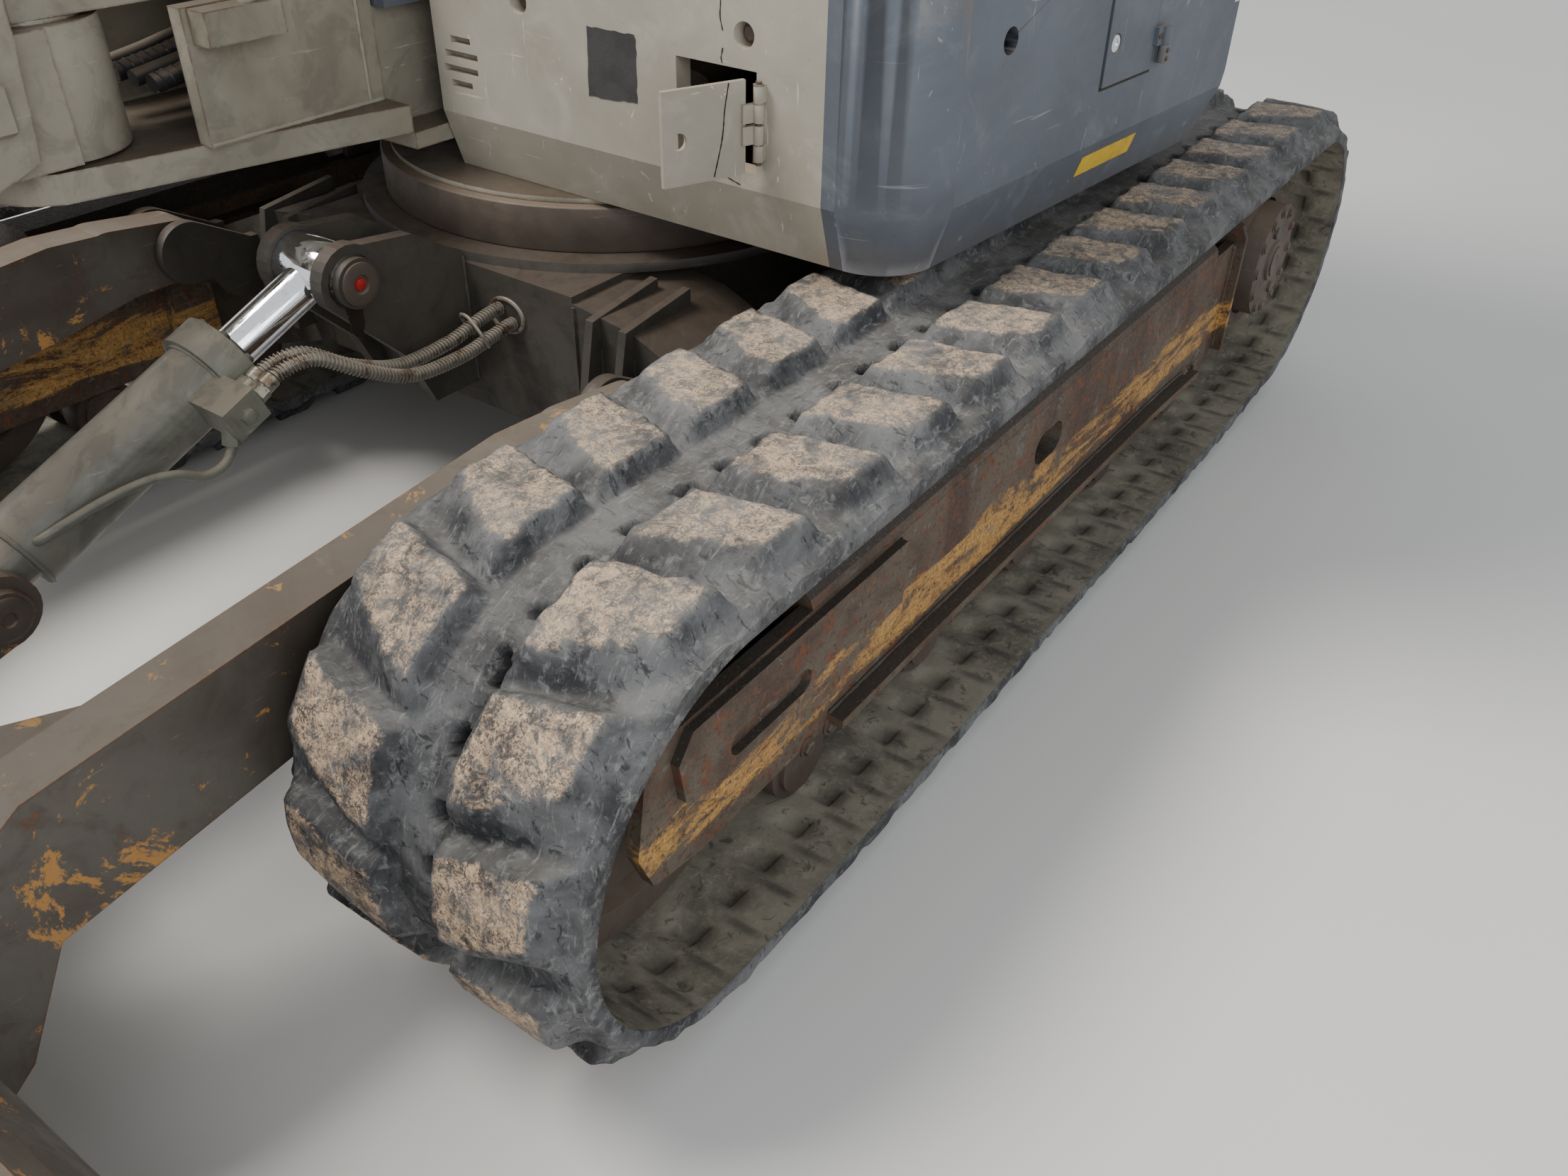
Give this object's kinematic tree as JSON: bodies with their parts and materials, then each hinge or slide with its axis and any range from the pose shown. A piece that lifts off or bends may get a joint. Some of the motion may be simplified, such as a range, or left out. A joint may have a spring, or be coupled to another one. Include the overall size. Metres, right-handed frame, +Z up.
{
  "type": "compact crawler excavator",
  "caption": "Rubber-tracked excavator with slewing cab, offset swing boom, arm, bucket and dozer blade, with working linkages and doors.",
  "frame": {"origin": "on the ground under the tracks, on the slewing axis of the house", "axes": "+X towards the blade and the front idlers, +Y to the machine's left, where the cab is, +Z up"},
  "size_m": [5.0421, 1.96, 2.592],
  "materials": {
    "rubber": "black rubber, worn blue-grey",
    "frame_paint": "worn paint over rusted steel",
    "cast_steel": "dirty cast steel",
    "blade_steel": "rusted steel with old paint",
    "greige_paint": "warm light grey paint on steel",
    "slate_paint": "slate blue-grey paint on steel",
    "dark_paint": "dark grey paint on cast iron",
    "cylinder_paint": "grey-green paint on steel tube",
    "chrome": "chromed steel",
    "glass": "safety glass",
    "black_rubber_hose": "rubber hose with spring guard",
    "black_plastic": "black plastic and vinyl",
    "cloth": "woven cloth over foam",
    "bucket_steel": "worn bare steel"
  },
  "bodies": {
    "undercarriage": {"carbody": "frame_paint", "slew_ring": "cast_steel", "frame_left": "frame_paint", "frame_right": "frame_paint", "track_left": "rubber", "track_right": "rubber", "idlers": "cast_steel", "sprockets": "cast_steel", "rollers": "cast_steel", "blade_hoses": "black_rubber_hose"},
    "house": {"main_frame": "greige_paint", "front_panel": "greige_paint", "side_skirt": "slate_paint", "right_cover": "slate_paint", "rear_cover": "slate_paint", "counterweight": "dark_paint", "engine": "dark_paint", "cab_frame": "greige_paint", "cab_glass": "glass", "chair": "cloth", "consoles": "black_plastic", "cab_trim": "black_plastic", "bracket_hoses": "black_rubber_hose"},
    "blade": {"blade": "blade_steel"},
    "blade_barrel": {"blade_barrel": "cylinder_paint"},
    "blade_rod": {"blade_rod": "chrome"},
    "front_flap": {"front_flap": "greige_paint"},
    "side_door": {"side_door": "slate_paint"},
    "hood": {"hood": "slate_paint"},
    "door": {"cab_door": "greige_paint", "door_glass": "glass"},
    "swing_post": {"swing_bracket": "greige_paint"},
    "boom": {"boom": "greige_paint", "boom_lines": "black_rubber_hose"},
    "boom_barrel": {"boom_barrel": "cylinder_paint"},
    "boom_rod": {"boom_rod": "chrome"},
    "arm": {"arm": "greige_paint"},
    "arm_barrel": {"arm_barrel": "cylinder_paint"},
    "arm_rod": {"arm_rod": "chrome"},
    "bucket_barrel": {"bucket_barrel": "cylinder_paint"},
    "bucket_rod": {"bucket_rod": "chrome"},
    "rocker": {"rocker": "greige_paint"},
    "tipping_link": {"tipping_link": "greige_paint"},
    "bucket": {"bucket": "bucket_steel", "teeth": "bucket_steel"}
  },
  "joints": [
    {"name": "slew", "type": "hinge", "parent": "undercarriage", "child": "house", "pos_m": [0, 0, 0.6], "axis": [0, 0, 1], "continuous": true},
    {"name": "boom_swing", "type": "hinge", "parent": "house", "child": "swing_post", "pos_m": [0.82, -0.26, 0.8], "axis": [0, 0, 1], "range_deg": [-50, 75]},
    {"name": "boom", "type": "hinge", "parent": "swing_post", "child": "boom", "pos_m": [0.95, -0.26, 1], "axis": [0, -1, 0], "range_deg": [-45, 50]},
    {"name": "boom_barrel", "type": "hinge", "parent": "swing_post", "child": "boom_barrel", "pos_m": [1.1, -0.26, 0.78], "axis": [0, -1, 0], "range_deg": [-60, 60]},
    {"name": "boom_rod", "type": "slide", "parent": "boom_barrel", "child": "boom_rod", "axis": [0.6651, 0, 0.7467], "range_m": [-0.25, 0.25]},
    {"name": "arm", "type": "hinge", "parent": "boom", "child": "arm", "pos_m": [3.60885, -0.26, 1.87779], "axis": [0, 1, 0], "range_deg": [-54, 30]},
    {"name": "arm_barrel", "type": "hinge", "parent": "boom", "child": "arm_barrel", "pos_m": [1.95746, -0.26, 2.19086], "axis": [0, 1, 0], "range_deg": [-15, 15]},
    {"name": "arm_rod", "type": "slide", "parent": "arm_barrel", "child": "arm_rod", "axis": [0.9999, 0, 0.0133], "range_m": [-0.4, 0.4]},
    {"name": "bucket", "type": "hinge", "parent": "arm", "child": "bucket", "pos_m": [3.25806, -0.26, 0.47086], "axis": [0, 1, 0], "range_deg": [-109, 11]},
    {"name": "rocker", "type": "hinge", "parent": "arm", "child": "rocker", "pos_m": [3.34763, -0.26, 0.74741], "axis": [0, 1, 0], "range_deg": [-110, 12]},
    {"name": "tipping_link", "type": "hinge", "parent": "rocker", "child": "tipping_link", "pos_m": [3.45205, -0.26, 0.54247], "axis": [0, 1, 0], "range_deg": [-12, 110]},
    {"name": "bucket_barrel", "type": "hinge", "parent": "arm", "child": "bucket_barrel", "pos_m": [3.77147, -0.26, 1.68265], "axis": [0, 1, 0], "range_deg": [-15, 15]},
    {"name": "bucket_rod", "type": "slide", "parent": "bucket_barrel", "child": "bucket_rod", "axis": [-0.2698, 0, -0.9629], "range_m": [-0.45, 0.45]},
    {"name": "blade", "type": "hinge", "parent": "undercarriage", "child": "blade", "pos_m": [0.56, 0, 0.455], "axis": [0, -1, 0], "range_deg": [-20, 18], "deforming": ["blade_hoses"]},
    {"name": "blade_barrel", "type": "hinge", "parent": "blade", "child": "blade_barrel", "pos_m": [1.215, 0, 0.335], "axis": [0, -1, 0], "range_deg": [-10, 10]},
    {"name": "blade_rod", "type": "slide", "parent": "blade_barrel", "child": "blade_rod", "axis": [-0.929, 0, 0.37], "range_m": [-0.08, 0.08]},
    {"name": "cab_door", "type": "hinge", "parent": "house", "child": "door", "pos_m": [-0.6, 0.82, 1.7], "axis": [0, 0, 1], "range_deg": [0, 150]},
    {"name": "side_door", "type": "hinge", "parent": "house", "child": "side_door", "pos_m": [-0.30671, 0.83758, 0.9], "axis": [0, 0, 1], "range_deg": [0, 110]},
    {"name": "front_flap", "type": "hinge", "parent": "house", "child": "front_flap", "pos_m": [0.339, 0.555, 0.8], "axis": [0, 0, 1], "range_deg": [-68, 40]},
    {"name": "hood", "type": "hinge", "parent": "house", "child": "hood", "pos_m": [-0.702, 0, 1.44], "axis": [0, 1, 0], "range_deg": [0, 45]}
  ],
  "couplings": [
    {"joint": "boom_barrel", "follows": "boom", "ratio": 0.945},
    {"joint": "boom_rod", "follows": "boom", "m_per_rad": 0.2292},
    {"joint": "arm_barrel", "follows": "arm", "ratio": 0.01},
    {"joint": "arm_rod", "follows": "arm", "m_per_rad": 0.309},
    {"joint": "rocker", "follows": "bucket", "ratio": 1},
    {"joint": "tipping_link", "follows": "bucket", "ratio": -1},
    {"joint": "bucket_barrel", "follows": "bucket", "ratio": 0.02},
    {"joint": "bucket_rod", "follows": "bucket", "m_per_rad": 0.1975},
    {"joint": "blade_barrel", "follows": "blade", "ratio": 0.04},
    {"joint": "blade_rod", "follows": "blade", "m_per_rad": -0.132}
  ]
}
